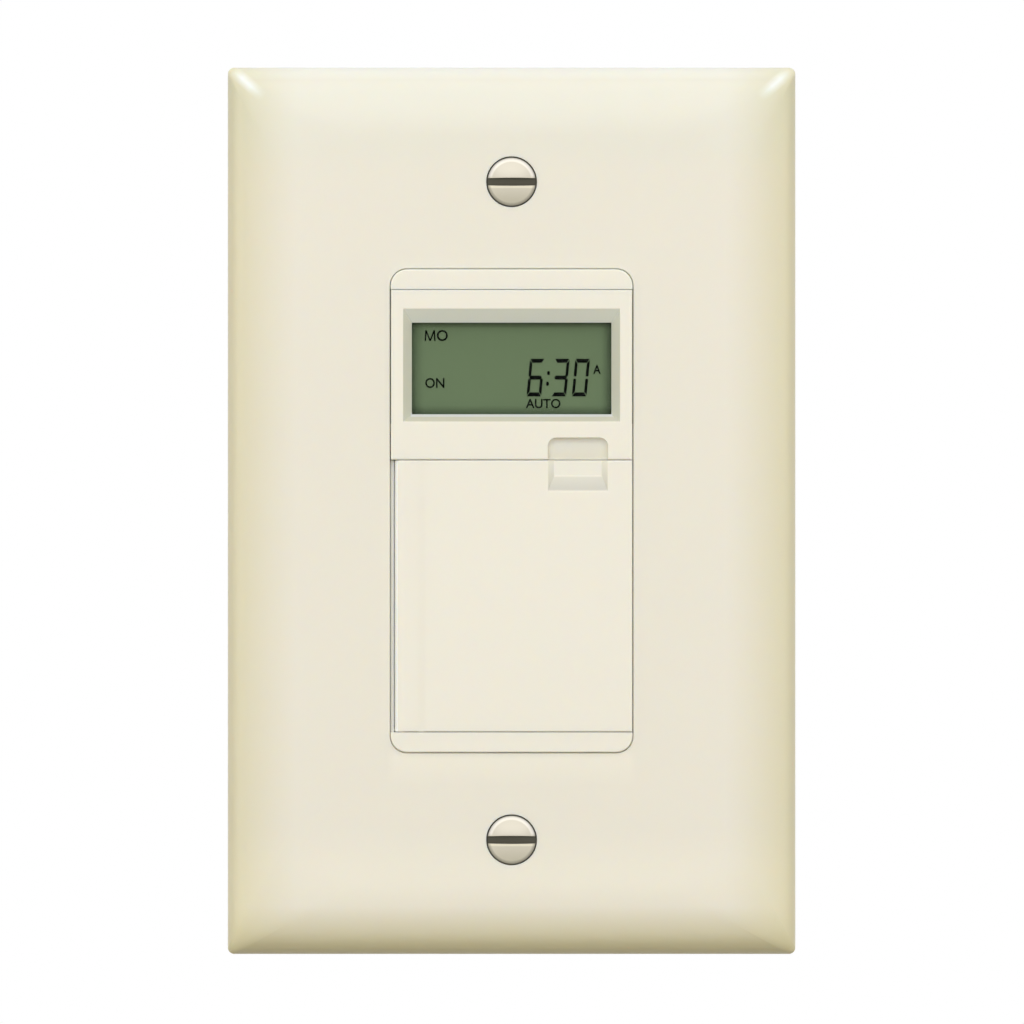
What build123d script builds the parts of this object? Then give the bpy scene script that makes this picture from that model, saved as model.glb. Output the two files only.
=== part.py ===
from build123d import *
from math import cos, radians, sin
import os

# A week timer that switches a light, fitted behind a mid-size wall plate.
# X is to the right, Y goes into the wall and Z is up, in millimetres.
# The origin is the centre of the two box screws, on the wall's surface.

# Fits and slack
seam = 0.08  # gap above and below the door
joint = 0.05  # closed joint between the bezel and the top strip
slide_gap = 0.15  # gap round a key, an insert or a screw's head
running_gap = 0.05  # radial gap of a pin or shank in its hole
rest_gap = 0.1  # gap of a moving piece to the stop that it rests on
overrun = 1.0  # how far a cutting solid runs past what it cuts
pick = 0.02  # reach of the pickers of edges

# Wall plate
plate_width = 79.4
plate_end_margin = 9.5  # from the strap's end to the plate's edge
plate_depth = 6.4
plate_wall = 2.0
crown_inset = 9.7  # from the plate's edge to its flat
crown_turn = 22.0  # degrees
shoulder_turn = 80.0  # degrees
shoulder_radius = 4.9
plate_corner_radius = 0.9  # in plan, at the plate's edge
crown_corner_radius = 8.5  # in plan, where the crown meets the flat
crown_steps = 5  # levels that the crown is drawn through, and again the shoulder
opening_width = 34.0
opening_height = 67.7
opening_radius = 2.4
opening_edge = 0.2
plate_rib_height = 1.5
plate_rib_thickness = 1.2
plate_rib_margin = 4.6  # from the opening's edge to the rib
plate_boss_radius = 4.4
plate_boss_gap = 0.3

# Screws of the wall plate
plate_screw_offset = 4.33  # from the box screw out to the plate screw
plate_screw_head_radius = 3.37
plate_screw_gap = 0.19  # between the screw and its hole in the plate
plate_screw_rim_height = 0.6
plate_screw_shank_radius = 1.4
plate_screw_dome = 0.9
plate_screw_cone_height = 2.0
plate_screw_tip_depth = 5.0
plate_screw_slot_width = 0.95
plate_screw_slot_draft = 0.1  # each side of the slot leans out by this
plate_screw_slot_depth = 1.3

# Mounting strap
strap_thickness = 1.4
strap_inset = 1.0  # from the housing's side in to the strap's
strap_end_width = 24.0
strap_end_margin = 10.83  # from the box screw to the strap's end
strap_corner_radius = 2.0
strap_ear_radius = 5.2
strap_ear_reach = 14.5
strap_ear_neck = 4.0
strap_window_gap = 0.4  # round the display holder
strap_window_margin = 2.0  # from the housing's end to the window's
strap_window_radius = 1.5

# Screws into the wall box
box_screw_margin = 7.82  # from the opening's end out to the screw
box_screw_radius = 1.75
box_screw_neck_radius = 1.5
box_screw_head_radius = 2.65
box_screw_head_height = 1.7
box_screw_length = 22.0
box_screw_slot_width = 0.9
box_screw_slot_depth = 0.9
strap_slot_length = 6.4
strap_slot_height = 4.0

# Front frame
device_gap = 0.08  # between the plate's opening and the device
device_proud = 0.4  # the device's face stands out of the plate's by this
front_inset = 0.04
front_edge = 0.2  # rounding along the front pieces' edges
flange_margin = 2.0  # from the housing's end out to the flange's
flange_thickness = 1.8
flange_radius = 2.0
floor_thickness = 1.2
strip_height = 2.8
left_wall_thickness = 0.45
left_wall_drop = 0.1  # from the hinge's axis back to the wall's top
right_wall_thickness = 0.8

# Display bezel
bezel_skin = 1.5
bezel_side_wall = 1.4
bezel_top_wall = 1.2
bezel_foot_wall = 1.6
sight_side_lap = 1.25  # the bezel covers this much of the holder at each side
sight_end_lap = 1.7
sight_drop = 11.07  # from the top strip to the middle of the display
bevel_depth = 1.3
bevel_top = 2.0
bevel_side = 1.25
bevel_bottom = 1.05
stake_radius = 0.8
stake_boss_radius = 1.3
stake_reach = 9.0
stake_margin = 1.35
stake_low_margin = 2.35
pane_gap = 0.28  # between the display window and the bezel's sides

# Finger notch over the joint of bezel and door
notch_inset = 7.65  # from the frame's side to the notch's middle
notch_width = 8.45
notch_rise = 3.15
notch_drop = 4.4
notch_depth = 1.2
notch_corner_radius = 1.2
notch_hollow_radius = 0.9
notch_floor_width = 6.6
notch_floor_drop = 2.1
notch_door_depth = 0.8
notch_pad_margin = 0.8
notch_pad_skin = 1.2
notch_pad_gap = 0.75  # from the pad up to the display holder

# Door
door_thickness = 1.5
hinge_inset = 1.65
barrel_radius = 1.1
hinge_pin_radius = 0.6
hinge_pin_length = 1.1
hinge_hole_slack = 0.15
door_groove_reach = 2.57
door_groove_width = 0.8
door_groove_depth = 0.12
door_nib_width = 0.65
door_nib_depth = 1.0
door_nib_height = 5.0

# Display
pane_thickness = 1.0
holder_height = 16.2
holder_wall = 0.6
holder_web_thickness = 1.0
holder_web_height = 7.0
panel_thickness = 2.0
panel_gap = 0.1
zebra_thickness = 2.0
zebra_margin = 1.2

# Keys
key_travel = 0.5
key_door_gap = 0.7  # from the closed door to the keys
key_edge = 0.4
key_radius = 2.9
key_pitch_share = 0.27  # of the frame's width
key_row_pitch_share = 0.252  # of the height behind the door
key_row_drop_share = 0.21
mode_key_width = 19.0
mode_key_height = 5.6
reset_key_radius = 1.2
reset_key_drop = 0.3  # from the floor back to the key's face
key_flange_margin = 0.6
key_flange_thickness = 0.6
key_stem_radius = 1.0
key_stem_entry = 0.3
tact_size = 4.4
tact_bore_gap = 0.1

# Control board
board_front = 1.6  # depth of the board's front behind the wall's surface
board_thickness = 1.6
board_side_margin = 1.0  # from the strap's window in to the board's side
board_end_gap = 0.7  # between the board's end and the housing
board_radius = 1.0
board_post_radius = 1.1
board_post_margin = 1.5
board_post_drop = 2.3  # from the display holder to the upper posts
board_post_rise = 2.5  # from the board's foot to the lower posts
chip_size = 9.0
chip_thickness = 1.4
chip_drop_share = 0.24  # of the board's height
chip_lead_reach = 1.2
chip_lead_thickness = 0.3
chip_lead_width = 0.5
chip_lead_pitch = 1.6
chip_lead_count = 5
crystal_radius = 1.5
crystal_length = 7.0
crystal_drop_share = 0.41
cell_radius = 6.2
cell_thickness = 2.5
cell_rise_share = 0.3
clip_thickness = 0.4
clip_width = 4.0
header_width = 16.0
header_depth = 2.5
header_block = 2.5
header_pin_radius = 0.32
header_pin_count = 6

# Power board and what stands on it
power_board_gap = 0.3  # between the board's side and the terminal blocks
power_board_margin = 8.5  # from the housing's end to the board's
power_post_radius = 1.6
power_post_inset = 4.9  # from the board's side
power_post_rise = 3.0  # from the board's end
relay_width = 19.0
relay_height = 15.5
relay_depth = 14.8
relay_gap = 0.6  # between the relay and the housing's back
filter_width = 13.0
filter_height = 6.0
filter_depth = 12.0
filter_drop_share = 0.31  # of the power board's height
reservoir_radius = 4.0
reservoir_depth = 11.5
reservoir_x = -4.0
reservoir_rise_share = 0.34
disc_radius = 4.4
disc_thickness = 3.4
disc_x = 6.0
disc_rise_share = 0.32
disc_lead_radius = 0.4
disc_lead_length = 1.0
part_edge = 0.5

# Rear housing
housing_side_margin = 5.0  # from the opening's side out to the housing's
housing_end_inset = 1.85  # from the opening's end in to the housing's
housing_wall = 1.8
housing_back_wall = 2.0
housing_radius = 3.0
housing_back_edge = 1.0
pillar_side_inset = 3.3
pillar_end_inset = 4.0
pillar_radius = 3.3
pillar_seat = 7.0
counterbore_radius = 2.6
housing_screw_radius = 1.25
housing_screw_head_radius = 2.4
housing_screw_head_height = 1.8
housing_screw_slot_width = 0.7
housing_screw_slot_depth = 0.9
housing_screw_tip = 0.2  # from the post's front back to the screw's tip
screw_post_radius = 1.9
screw_hole_gap = 0.2

# Wire terminals on the housing's sides
terminal_rise_share = 0.4375  # of half the housing's height
pocket_depth = 3.0
pocket_height = 11.0
pocket_front = 4.0
pocket_length = 13.0
block_thickness = 2.8
block_margin = 1.5
leaf_thickness = 1.0
leaf_height = 9.2
leaf_front_gap = 0.5
leaf_back_gap = 1.0
tongue_height = 5.0
tongue_lap = 1.0
terminal_screw_inset = 5.0  # from the plate's front edge
terminal_screw_radius = 1.75
terminal_screw_tip = 2.1
terminal_head_radius = 3.6
terminal_head_height = 1.9
terminal_slot_width = 1.0
terminal_slot_depth = 0.9

# Earth terminal on the strap
ground_tab_x = -10.0
ground_tab_height = 5.6
ground_tab_length = 8.0
ground_tab_gap = 0.4
ground_tab_margin = 0.5
ground_screw_depth = 4.6
ground_screw_radius = 1.9
ground_head_radius = 2.8
ground_head_height = 2.0
ground_screw_length = 5.0

# Sizes and places across the front that follow from those above
opening_top = opening_height / 2
frame_width = opening_width - 2 * device_gap
frame_height = opening_height - 2 * device_gap
frame_radius = opening_radius - device_gap
frame_side = frame_width / 2
frame_top = frame_height / 2
front_side = frame_side - front_inset
housing_side = opening_width / 2 + housing_side_margin
housing_top = opening_top - housing_end_inset
housing_width = 2 * housing_side
housing_height = 2 * housing_top
box_screw_z = opening_top + box_screw_margin
plate_screw_z = box_screw_z + plate_screw_offset
strap_height = 2 * (box_screw_z + strap_end_margin)
plate_height = strap_height + 2 * plate_end_margin
strap_middle_width = housing_width - 2 * strap_inset
ground_tab_room = ground_tab_gap + ground_tab_height + ground_tab_margin
strap_middle_height = housing_height + 2 * ground_tab_room
flange_width = strap_middle_width
flange_height = housing_height + 2 * flange_margin
holder_width = 2 * (front_side - bezel_side_wall - pane_gap)
strap_window_width = holder_width + 2 * strap_window_gap
strap_window_height = housing_height - 2 * strap_window_margin
strip_foot = frame_top - strip_height
sight_middle = strip_foot - sight_drop
sight_width = holder_width - 2 * sight_side_lap
sight_height = holder_height - 2 * sight_end_lap
notch_room = notch_rise + notch_pad_margin + notch_pad_gap
split = sight_middle - holder_height / 2 - notch_room
sill = -strip_foot
bezel_top = strip_foot - joint
bezel_foot = split + seam / 2
door_top = split - seam / 2
door_foot = sill + seam
hinge_x = hinge_inset - frame_side
notch_middle = frame_side - notch_inset
pillar_x = housing_side - pillar_side_inset
pillar_z = housing_top - pillar_end_inset
pocket_floor = housing_side - pocket_depth
block_inner = pocket_floor - block_thickness
terminal_z = terminal_rise_share * housing_top
ground_tab_z = -(housing_top + ground_tab_gap + ground_tab_height / 2)
board_width = strap_window_width - 2 * board_side_margin
board_height = housing_height - 2 * (housing_wall + board_end_gap)
cell_rise = cell_rise_share * board_height
chip_drop = chip_drop_share * board_height
crystal_drop = crystal_drop_share * board_height
power_board_width = 2 * (block_inner - power_board_gap)
power_board_height = housing_height - 2 * power_board_margin
power_post_x = power_board_width / 2 - power_post_inset
power_post_z = power_board_height / 2 - power_post_rise
filter_drop = filter_drop_share * power_board_height
reservoir_rise = reservoir_rise_share * power_board_height
disc_rise = disc_rise_share * power_board_height

# Depths that follow from those above
plate_face = -plate_depth
plate_ceiling = plate_wall - plate_depth
plate_screw_rim_end = plate_face + plate_screw_rim_height
plate_screw_cone_end = plate_screw_rim_end + plate_screw_cone_height
face = plate_face - device_proud
strap_front = -strap_thickness
flange_front = strap_front - flange_thickness
post_front = plate_ceiling + plate_boss_gap
floor_back = flange_front + floor_thickness
door_back = face + door_thickness
hinge_y = face + barrel_radius
pane_front = face + bezel_skin
pane_back = pane_front + pane_thickness
panel_front = pane_back + panel_gap
panel_back = panel_front + panel_thickness
key_front = door_back + key_door_gap
reset_key_front = flange_front + reset_key_drop
key_flange_front = floor_back + rest_gap
key_flange_back = key_flange_front + key_flange_thickness
tact_front = key_flange_back + key_travel + rest_gap
board_back = board_front + board_thickness
pocket_back = pocket_front + pocket_length
leaf_front = pocket_front + leaf_front_gap
leaf_back = pocket_back - leaf_back_gap
terminal_screw_depth = leaf_front + terminal_screw_inset
power_front = leaf_back
power_back = power_front + board_thickness
cavity_back = power_back + relay_depth + relay_gap
housing_depth = cavity_back + housing_back_wall


# Helpers
def facing(depth):
    """Plane across the depth, seen from the front."""
    return Plane(origin=(0, depth, 0), x_dir=(1, 0, 0), z_dir=(0, -1, 0))


def slab(outline, front, back):
    """Solid of an outline seen from the front, between two depths."""
    return extrude(facing(back) * outline, amount=back - front)


def span(left, right, foot, top, radius=0):
    """Rectangle between its sides, with rounded corners if a radius is given."""
    width, height = right - left, top - foot
    if radius > 0:
        outline = RectangleRounded(width, height, radius)
    else:
        outline = Rectangle(width, height)
    return Pos((left + right) / 2, (foot + top) / 2) * outline


def centred(width, height, radius=0, x=0, z=0):
    """Rectangle round a middle point."""
    return span(x - width / 2, x + width / 2, z - height / 2, z + height / 2, radius)


def disc(radius, x=0, z=0):
    """Circle at a place seen from the front."""
    return Pos(x, z) * Circle(radius)


def turned(points, x=0, z=0):
    """Solid turned about an axis along the depth, from points of radius and depth."""
    return Pos(x, 0, z) * revolve(make_face(Polyline(*points, close=True)), Axis.Y)


def sideways(solid, x, y, z):
    """A solid turned about the depth, laid along +X with its zero depth at x."""
    return Pos(x, y, z) * (Rot(0, 0, -90) * solid)


def pairs(x, z):
    """The four places at plus and minus x and z."""
    return [(i * x, j * z) for i in (-1, 1) for j in (-1, 1)]


def edges_at(solid, depth):
    """Edges that lie at one depth."""
    return solid.edges().filter_by_position(Axis.Y, depth - pick, depth + pick)


def upright(radius, x, y, foot, top):
    """Round bar along Z."""
    return Pos(x, y, foot) * extrude(Circle(radius), amount=top - foot)


def save(name, *solids):
    """Writes one piece, or one set of like pieces, under its node's name."""
    export_step(Part() + list(solids), os.path.join("parts", name + ".step"))


# Wall plate
def crown_levels(offset):
    """Inset and height of the pillowed form's levels, with its wall taken off."""
    crown, shoulder = radians(crown_turn), radians(shoulder_turn)
    drawn = shoulder_radius * (sin(shoulder) - sin(crown))
    crown_radius = (crown_inset - drawn) / sin(crown)
    centre = plate_depth - crown_radius
    reach = crown_radius - shoulder_radius
    levels = []
    for step in range(crown_steps + 1):
        angle = crown * step / crown_steps
        arm = crown_radius - offset
        levels.append((crown_inset - arm * sin(angle), centre + arm * cos(angle)))
    for step in range(1, crown_steps + 1):
        angle = crown + (shoulder - crown) * step / crown_steps
        arm = shoulder_radius - offset
        out = reach * sin(crown) + arm * sin(angle)
        levels.append((crown_inset - out, centre + reach * cos(crown) + arm * cos(angle)))
    return levels


def crown_outline(inset):
    """Outline of the plate at an inset from its edge, rounder the further in."""
    share = inset / crown_inset
    radius = plate_corner_radius + share * (crown_corner_radius - plate_corner_radius)
    return centred(plate_width - 2 * inset, plate_height - 2 * inset, radius)


def crown_solid(offset, foot):
    """The plate's pillowed form, with corners that soften towards the flat."""
    levels = crown_levels(offset)
    crown = loft([facing(-height) * crown_outline(inset) for inset, height in levels])
    rim_inset, rim_height = levels[-1]
    return crown + slab(crown_outline(rim_inset), -rim_height, foot)


def plate_screw_hole(z):
    """Countersunk hole of a plate screw, through the plate and its boss."""
    mouth = plate_screw_head_radius + plate_screw_gap
    bore = plate_screw_shank_radius + plate_screw_gap
    return turned(
        [
            (0, plate_face - overrun),
            (mouth, plate_face - overrun),
            (mouth, plate_screw_rim_end),
            (bore, plate_screw_cone_end),
            (bore, overrun),
            (0, overrun),
        ],
        z=z,
    )


def make_wall_plate():
    """Moulded plate with a crowned front, a hollow back, ribs and screw bosses."""
    plate = crown_solid(0, 0) - crown_solid(plate_wall, overrun)
    rib_x = opening_width / 2 + plate_rib_margin + plate_rib_thickness / 2
    rib_front, rib_back = plate_ceiling - plate_wall / 2, plate_ceiling + plate_rib_height
    for side in (-1, 1):
        rib = centred(plate_rib_thickness, opening_height, 0, side * rib_x)
        plate += slab(rib, rib_front, rib_back)
        boss = disc(plate_boss_radius, 0, side * plate_screw_z)
        plate += slab(boss, rib_front, strap_front - plate_boss_gap)
        cross_z = side * plate_screw_z
        cross = centred(plate_width / 2, plate_rib_thickness, 0, 0, cross_z)
        plate += slab(cross, rib_front, rib_back)
    plate -= slab(
        centred(opening_width, opening_height, opening_radius),
        plate_face - overrun,
        overrun,
    )
    head_room = box_screw_head_radius + slide_gap
    head_top = strap_front - box_screw_head_height - slide_gap
    for side in (-1, 1):
        plate -= plate_screw_hole(side * plate_screw_z)
        plate -= slab(disc(head_room, 0, side * box_screw_z), head_top, overrun)
    rim = [
        edge
        for edge in edges_at(plate, plate_face)
        if abs(edge.center().X) <= opening_width / 2 + pick
        and abs(edge.center().Z) <= opening_height / 2 + pick
    ]
    return fillet(rim, opening_edge)


def plate_screw(z):
    """Slotted oval-head screw that holds the plate to the strap."""
    radius, dome = plate_screw_head_radius, plate_screw_dome
    top = plate_face - dome
    profile = [
        ThreePointArc(
            (0, top),
            (radius / 2, plate_face - dome * 3 / 4),
            (radius, plate_face),
        ),
        Polyline(
            (radius, plate_face),
            (radius, plate_screw_rim_end),
            (plate_screw_shank_radius, plate_screw_cone_end),
            (plate_screw_shank_radius, plate_screw_tip_depth),
            (0, plate_screw_tip_depth),
            (0, top),
        ),
    ]
    screw = revolve(make_face(Curve() + profile), Axis.Y)
    length = 2 * radius + overrun
    floor = centred(length, plate_screw_slot_width)
    mouth = centred(length, plate_screw_slot_width + 2 * plate_screw_slot_draft)
    slot_floor = top + plate_screw_slot_depth
    screw -= loft([facing(top - pick) * mouth, facing(slot_floor) * floor], ruled=True)
    return Pos(0, 0, z) * screw


# Strap, box screws and earth terminal
def make_strap():
    """Steel strap with plaster ears, slots for the box screws and a bent earth tab."""
    outline = centred(strap_middle_width, strap_middle_height, strap_corner_radius)
    outline += centred(strap_end_width, strap_height, strap_corner_radius)
    ear_z = strap_height / 2 - strap_ear_radius
    for x, z in pairs(strap_ear_reach, ear_z):
        outline += disc(strap_ear_radius, x, z)
    for side in (-1, 1):
        outline += centred(2 * strap_ear_reach, strap_ear_neck, 0, 0, side * ear_z)
    outline -= centred(strap_window_width, strap_window_height, strap_window_radius)
    for side in (-1, 1):
        slot = SlotOverall(strap_slot_length, strap_slot_height)
        outline -= Pos(0, side * box_screw_z) * slot
        outline -= disc(plate_screw_shank_radius + running_gap, 0, side * plate_screw_z)
    for x, z in pairs(strap_ear_reach, ear_z):
        outline -= disc(strap_slot_height / 2, x, z)
    for x, z in pairs(pillar_x, pillar_z):
        outline -= disc(housing_screw_radius + screw_hole_gap, x, z)
    tab_left = ground_tab_x - strap_thickness
    tab_foot = ground_tab_z - ground_tab_height / 2
    tab_top = ground_tab_z + ground_tab_height / 2
    outline -= span(tab_left - ground_tab_length, tab_left, tab_foot, tab_top)
    strap = slab(outline, strap_front, 0)
    tab = span(tab_left, ground_tab_x, tab_foot, tab_top)
    strap += slab(tab, strap_front, ground_tab_length)
    hole = slab(disc(ground_screw_radius + running_gap), -overrun, ground_screw_length)
    return strap - sideways(hole, tab_left, ground_screw_depth, ground_tab_z)


def box_screw(z):
    """Slotted screw into the wall box, with a narrower neck where it is held."""
    crown = box_screw_head_height / 3
    top = strap_front - box_screw_head_height
    screw = turned(
        [
            (0, top),
            (box_screw_head_radius - crown, top),
            (box_screw_head_radius, top + crown),
            (box_screw_head_radius, strap_front),
            (box_screw_neck_radius, strap_front),
            (box_screw_neck_radius, 0),
            (box_screw_radius, 0),
            (box_screw_radius, box_screw_length - box_screw_radius / 2),
            (box_screw_radius / 2, box_screw_length),
            (0, box_screw_length),
        ]
    )
    slot = centred(2 * box_screw_head_radius + overrun, box_screw_slot_width)
    screw -= slab(slot, top - overrun, top + box_screw_slot_depth)
    return Pos(0, 0, z) * screw


def screw_retainer(z):
    """Insert that fills a slot of the strap and keeps the box screw in it."""
    length = strap_slot_length - 2 * rest_gap
    height = strap_slot_height - 2 * rest_gap
    outline = Pos(0, z) * SlotOverall(length, height)
    outline -= disc(box_screw_neck_radius + running_gap, 0, z)
    return slab(outline, strap_front + rest_gap, 0)


def ground_screw():
    """Hexagonal screw in the strap's tab, with a slot."""
    head = slab(RegularPolygon(ground_head_radius, 6), -ground_head_height, 0)
    shank = slab(Circle(ground_screw_radius), 0, ground_screw_length)
    slot = centred(2 * ground_head_radius + overrun, terminal_slot_width)
    screw = head + shank
    screw -= slab(slot, -2 * ground_head_height, terminal_slot_depth - ground_head_height)
    x = ground_tab_x - strap_thickness
    return sideways(screw, x, ground_screw_depth, ground_tab_z)


# Keys and the holes that follow them
def key_plan(x, z, radius=key_radius, reach=0, front=key_front):
    """A key's place, the radius of its ends, half the way between them and its face."""
    return {"x": x, "z": z, "radius": radius, "reach": reach, "front": front}


key_pitch = key_pitch_share * frame_width
key_row_shares = [key_row_drop_share + row * key_row_pitch_share for row in range(3)]
key_rows = [split - share * (split - sill) for share in key_row_shares]
mode_key_reach = (mode_key_width - mode_key_height) / 2
keys = {
    "mode_key": key_plan(0, key_rows[0], mode_key_height / 2, mode_key_reach),
    "day_key": key_plan(-key_pitch, key_rows[1]),
    "hour_key": key_plan(0, key_rows[1]),
    "minute_key": key_plan(key_pitch, key_rows[1]),
    "clock_key": key_plan(-key_pitch, key_rows[2]),
    "reset_key": key_plan(0, key_rows[2], reset_key_radius, 0, reset_key_front),
    "timer_key": key_plan(key_pitch, key_rows[2]),
}


def key_outline(plan, margin):
    """Outline of a key, widened by a margin."""
    radius = plan["radius"] + margin
    if plan["reach"] > 0:
        outline = SlotCenterToCenter(2 * plan["reach"], 2 * radius)
    else:
        outline = Circle(radius)
    return Pos(plan["x"], plan["z"]) * outline


def make_key(plan):
    """Key cap with a flange behind the frame's floor and a stem into its switch."""
    cap = slab(key_outline(plan, 0), plan["front"], key_flange_front)
    cap = fillet(edges_at(cap, plan["front"]), key_edge)
    flange = slab(key_outline(plan, key_flange_margin), key_flange_front, key_flange_back)
    stem = disc(key_stem_radius, plan["x"], plan["z"])
    return cap + flange + slab(stem, key_flange_back, tact_front + key_stem_entry)


def make_tact_switch(plan):
    """Body of a small push switch, with the bore that its key's stem works in."""
    body = slab(centred(tact_size, tact_size, 0, plan["x"], plan["z"]), tact_front, board_front)
    bore = disc(key_stem_radius + tact_bore_gap, plan["x"], plan["z"])
    bore_end = tact_front + key_stem_entry + key_travel + rest_gap
    return body - slab(bore, tact_front - overrun, bore_end)


# Front of the device
def stakes():
    """Places of the pegs that hold the bezel to the frame."""
    high, low = bezel_top - stake_margin, bezel_foot + stake_low_margin
    return [(side * stake_reach, z) for side in (-1, 1) for z in (low, high)]


def make_front_frame():
    """Moulded frame with its flange, end strips, key floor, walls and posts."""
    frame = slab(centred(flange_width, flange_height, flange_radius), flange_front, strap_front)
    block = slab(centred(frame_width, frame_height, frame_radius), face, flange_front)
    block = fillet(edges_at(block, face), front_edge)
    middle = span(-frame_width, frame_width, sill, strip_foot)
    frame += block - slab(middle, face - overrun, flange_front)
    left = span(-frame_side, left_wall_thickness - frame_side, sill, door_top)
    frame += slab(left, hinge_y + left_wall_drop, flange_front)
    right = span(frame_side - right_wall_thickness, frame_side, sill, door_top)
    frame += slab(right, door_back + rest_gap, flange_front)
    post_x = board_width / 2 - board_post_margin
    post_high = sight_middle - holder_height / 2 - board_post_drop
    post_low = board_post_rise - board_height / 2
    for side in (-1, 1):
        for z in (post_low, post_high):
            frame += slab(disc(board_post_radius, side * post_x, z), strap_front, board_front)
    for x, z in pairs(pillar_x, pillar_z):
        frame += slab(disc(screw_post_radius, x, z), post_front, flange_front)
        thread = disc(housing_screw_radius + running_gap, x, z)
        frame -= slab(thread, post_front - overrun, overrun)
    hole_end = sill - hinge_pin_length - hinge_hole_slack
    pin_hole = hinge_pin_radius + running_gap
    frame -= upright(pin_hole, hinge_x, hinge_y, hole_end, sill + overrun)
    room_width, room_height = holder_width + 2 * slide_gap, holder_height + 2 * slide_gap
    room = centred(room_width, room_height, 0, 0, sight_middle)
    frame -= slab(room, flange_front - overrun, strap_front + overrun)
    for x, z in stakes():
        stake = disc(stake_radius + running_gap, x, z)
        frame -= slab(stake, flange_front - overrun, strap_front + overrun)
    for plan in keys.values():
        frame -= slab(key_outline(plan, slide_gap), flange_front - overrun, strap_front)
        pocket = key_outline(plan, key_flange_margin + slide_gap)
        frame -= slab(pocket, floor_back, strap_front + overrun)
    return frame


def make_bezel():
    """Display bezel with its sloped surround, finger notch, hinge hole and pegs."""
    bezel = slab(span(-front_side, front_side, bezel_foot, bezel_top), face, flange_front)
    bezel = fillet(edges_at(bezel, face), front_edge)
    hollow_side = front_side - bezel_side_wall
    hollow_foot, hollow_top = bezel_foot + bezel_foot_wall, bezel_top - bezel_top_wall
    hollow = span(-hollow_side, hollow_side, hollow_foot, hollow_top)
    bezel -= slab(hollow, pane_front, overrun)
    left, right = notch_middle - notch_width / 2, notch_middle + notch_width / 2
    notch_top = split + notch_rise
    pad = span(left - notch_pad_margin, right + notch_pad_margin,
               bezel_foot + bezel_foot_wall / 2, notch_top + notch_pad_margin)
    bezel += slab(pad, pane_front - notch_pad_skin / 2, face + notch_depth + notch_pad_skin)
    for x, z in stakes():
        bezel += slab(disc(stake_boss_radius, x, z), pane_front, flange_front)
        bezel += slab(disc(stake_radius, x, z), flange_front, strap_front - rest_gap)
    sight_foot, sight_top = sight_middle - sight_height / 2, sight_middle + sight_height / 2
    sight = span(-sight_width / 2, sight_width / 2, sight_foot, sight_top)
    mouth_side = sight_width / 2 + bevel_side
    mouth = span(-mouth_side, mouth_side, sight_foot - bevel_bottom, sight_top + bevel_top)
    bezel -= loft([facing(face) * mouth, facing(face + bevel_depth) * sight], ruled=True)
    bezel -= slab(sight, face - overrun, pane_front + overrun)
    notch = span(left, right, bezel_foot - notch_rise, notch_top, notch_corner_radius)
    notch_back = face + notch_depth
    scoop = slab(notch, face - overrun, notch_back)
    bezel -= fillet(edges_at(scoop, notch_back), notch_hollow_radius)
    hole_end = split + hinge_pin_length + hinge_hole_slack
    pin_hole = hinge_pin_radius + running_gap
    return bezel - upright(pin_hole, hinge_x, hinge_y, bezel_foot - overrun, hole_end)


def make_door():
    """Door over the keys, with its barrel, pins, notch, groove and snap nib."""
    right = front_side
    across = (barrel_radius**2 - (door_back - hinge_y) ** 2) ** 0.5
    barrel_end = (hinge_x + across, door_back)
    section = [
        Line((right, face), (hinge_x, face)),
        ThreePointArc((hinge_x, face), (hinge_x - barrel_radius, hinge_y), barrel_end),
        Polyline(barrel_end, (right, door_back), (right, face)),
    ]
    door = extrude(make_face(Curve() + section), amount=door_top - door_foot)
    door = Pos(0, 0, door_foot) * door
    ends = [
        edge
        for edge in door.edges()
        if edge.center().X > hinge_x and abs(edge.center().Y - face) < pick
        and abs(edge.tangent_at(0.5).X) + abs(edge.tangent_at(0.5).Z) > cos(radians(crown_turn))
        and edge.center().X > hinge_x + barrel_radius
    ]
    door = fillet(ends, front_edge)
    door += upright(hinge_pin_radius, hinge_x, hinge_y,
                    door_foot - hinge_pin_length, door_top + hinge_pin_length)
    mouth_top = door_top + overrun
    left_mouth, right_mouth = notch_middle - notch_width / 2, notch_middle + notch_width / 2
    mouth = span(left_mouth, right_mouth, door_top - notch_drop, mouth_top)
    floor_side = notch_floor_width / 2
    floor = span(notch_middle - floor_side, notch_middle + floor_side,
                 door_top - notch_floor_drop, mouth_top)
    door -= loft([facing(face) * mouth, facing(face + notch_door_depth) * floor], ruled=True)
    groove = centred(door_groove_width, door_top - door_foot + overrun, 0,
                     hinge_x + door_groove_reach, (door_top + door_foot) / 2)
    door -= slab(groove, face - overrun, face + door_groove_depth)
    nib_right = frame_side - right_wall_thickness - slide_gap
    nib = centred(door_nib_width, door_nib_height, 0,
                  nib_right - door_nib_width / 2, (door_top + door_foot) / 2)
    return door + slab(nib, door_back, door_back + door_nib_depth)


# Display
def make_holder():
    """Rim that locates the display over the board, with a web behind the glass."""
    rim = centred(holder_width, holder_height, 0, 0, sight_middle)
    inner_width, inner_height = holder_width - 2 * holder_wall, holder_height - 2 * holder_wall
    rim -= centred(inner_width, inner_height, 0, 0, sight_middle)
    web = centred(inner_width, holder_web_height, 0, 0, sight_middle)
    holder = slab(rim, pane_back, board_front)
    return holder + slab(web, panel_back, panel_back + holder_web_thickness)


def make_zebra_strip(side):
    """Rubber contact strip between the display's edge and the board."""
    inner_width, inner_height = holder_width - 2 * holder_wall, holder_height - 2 * holder_wall
    z = sight_middle + side * (inner_height + holder_web_height) / 4
    strip = centred(inner_width - 2 * zebra_margin, zebra_thickness, 0, 0, z)
    return slab(strip, panel_back, board_front)


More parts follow.
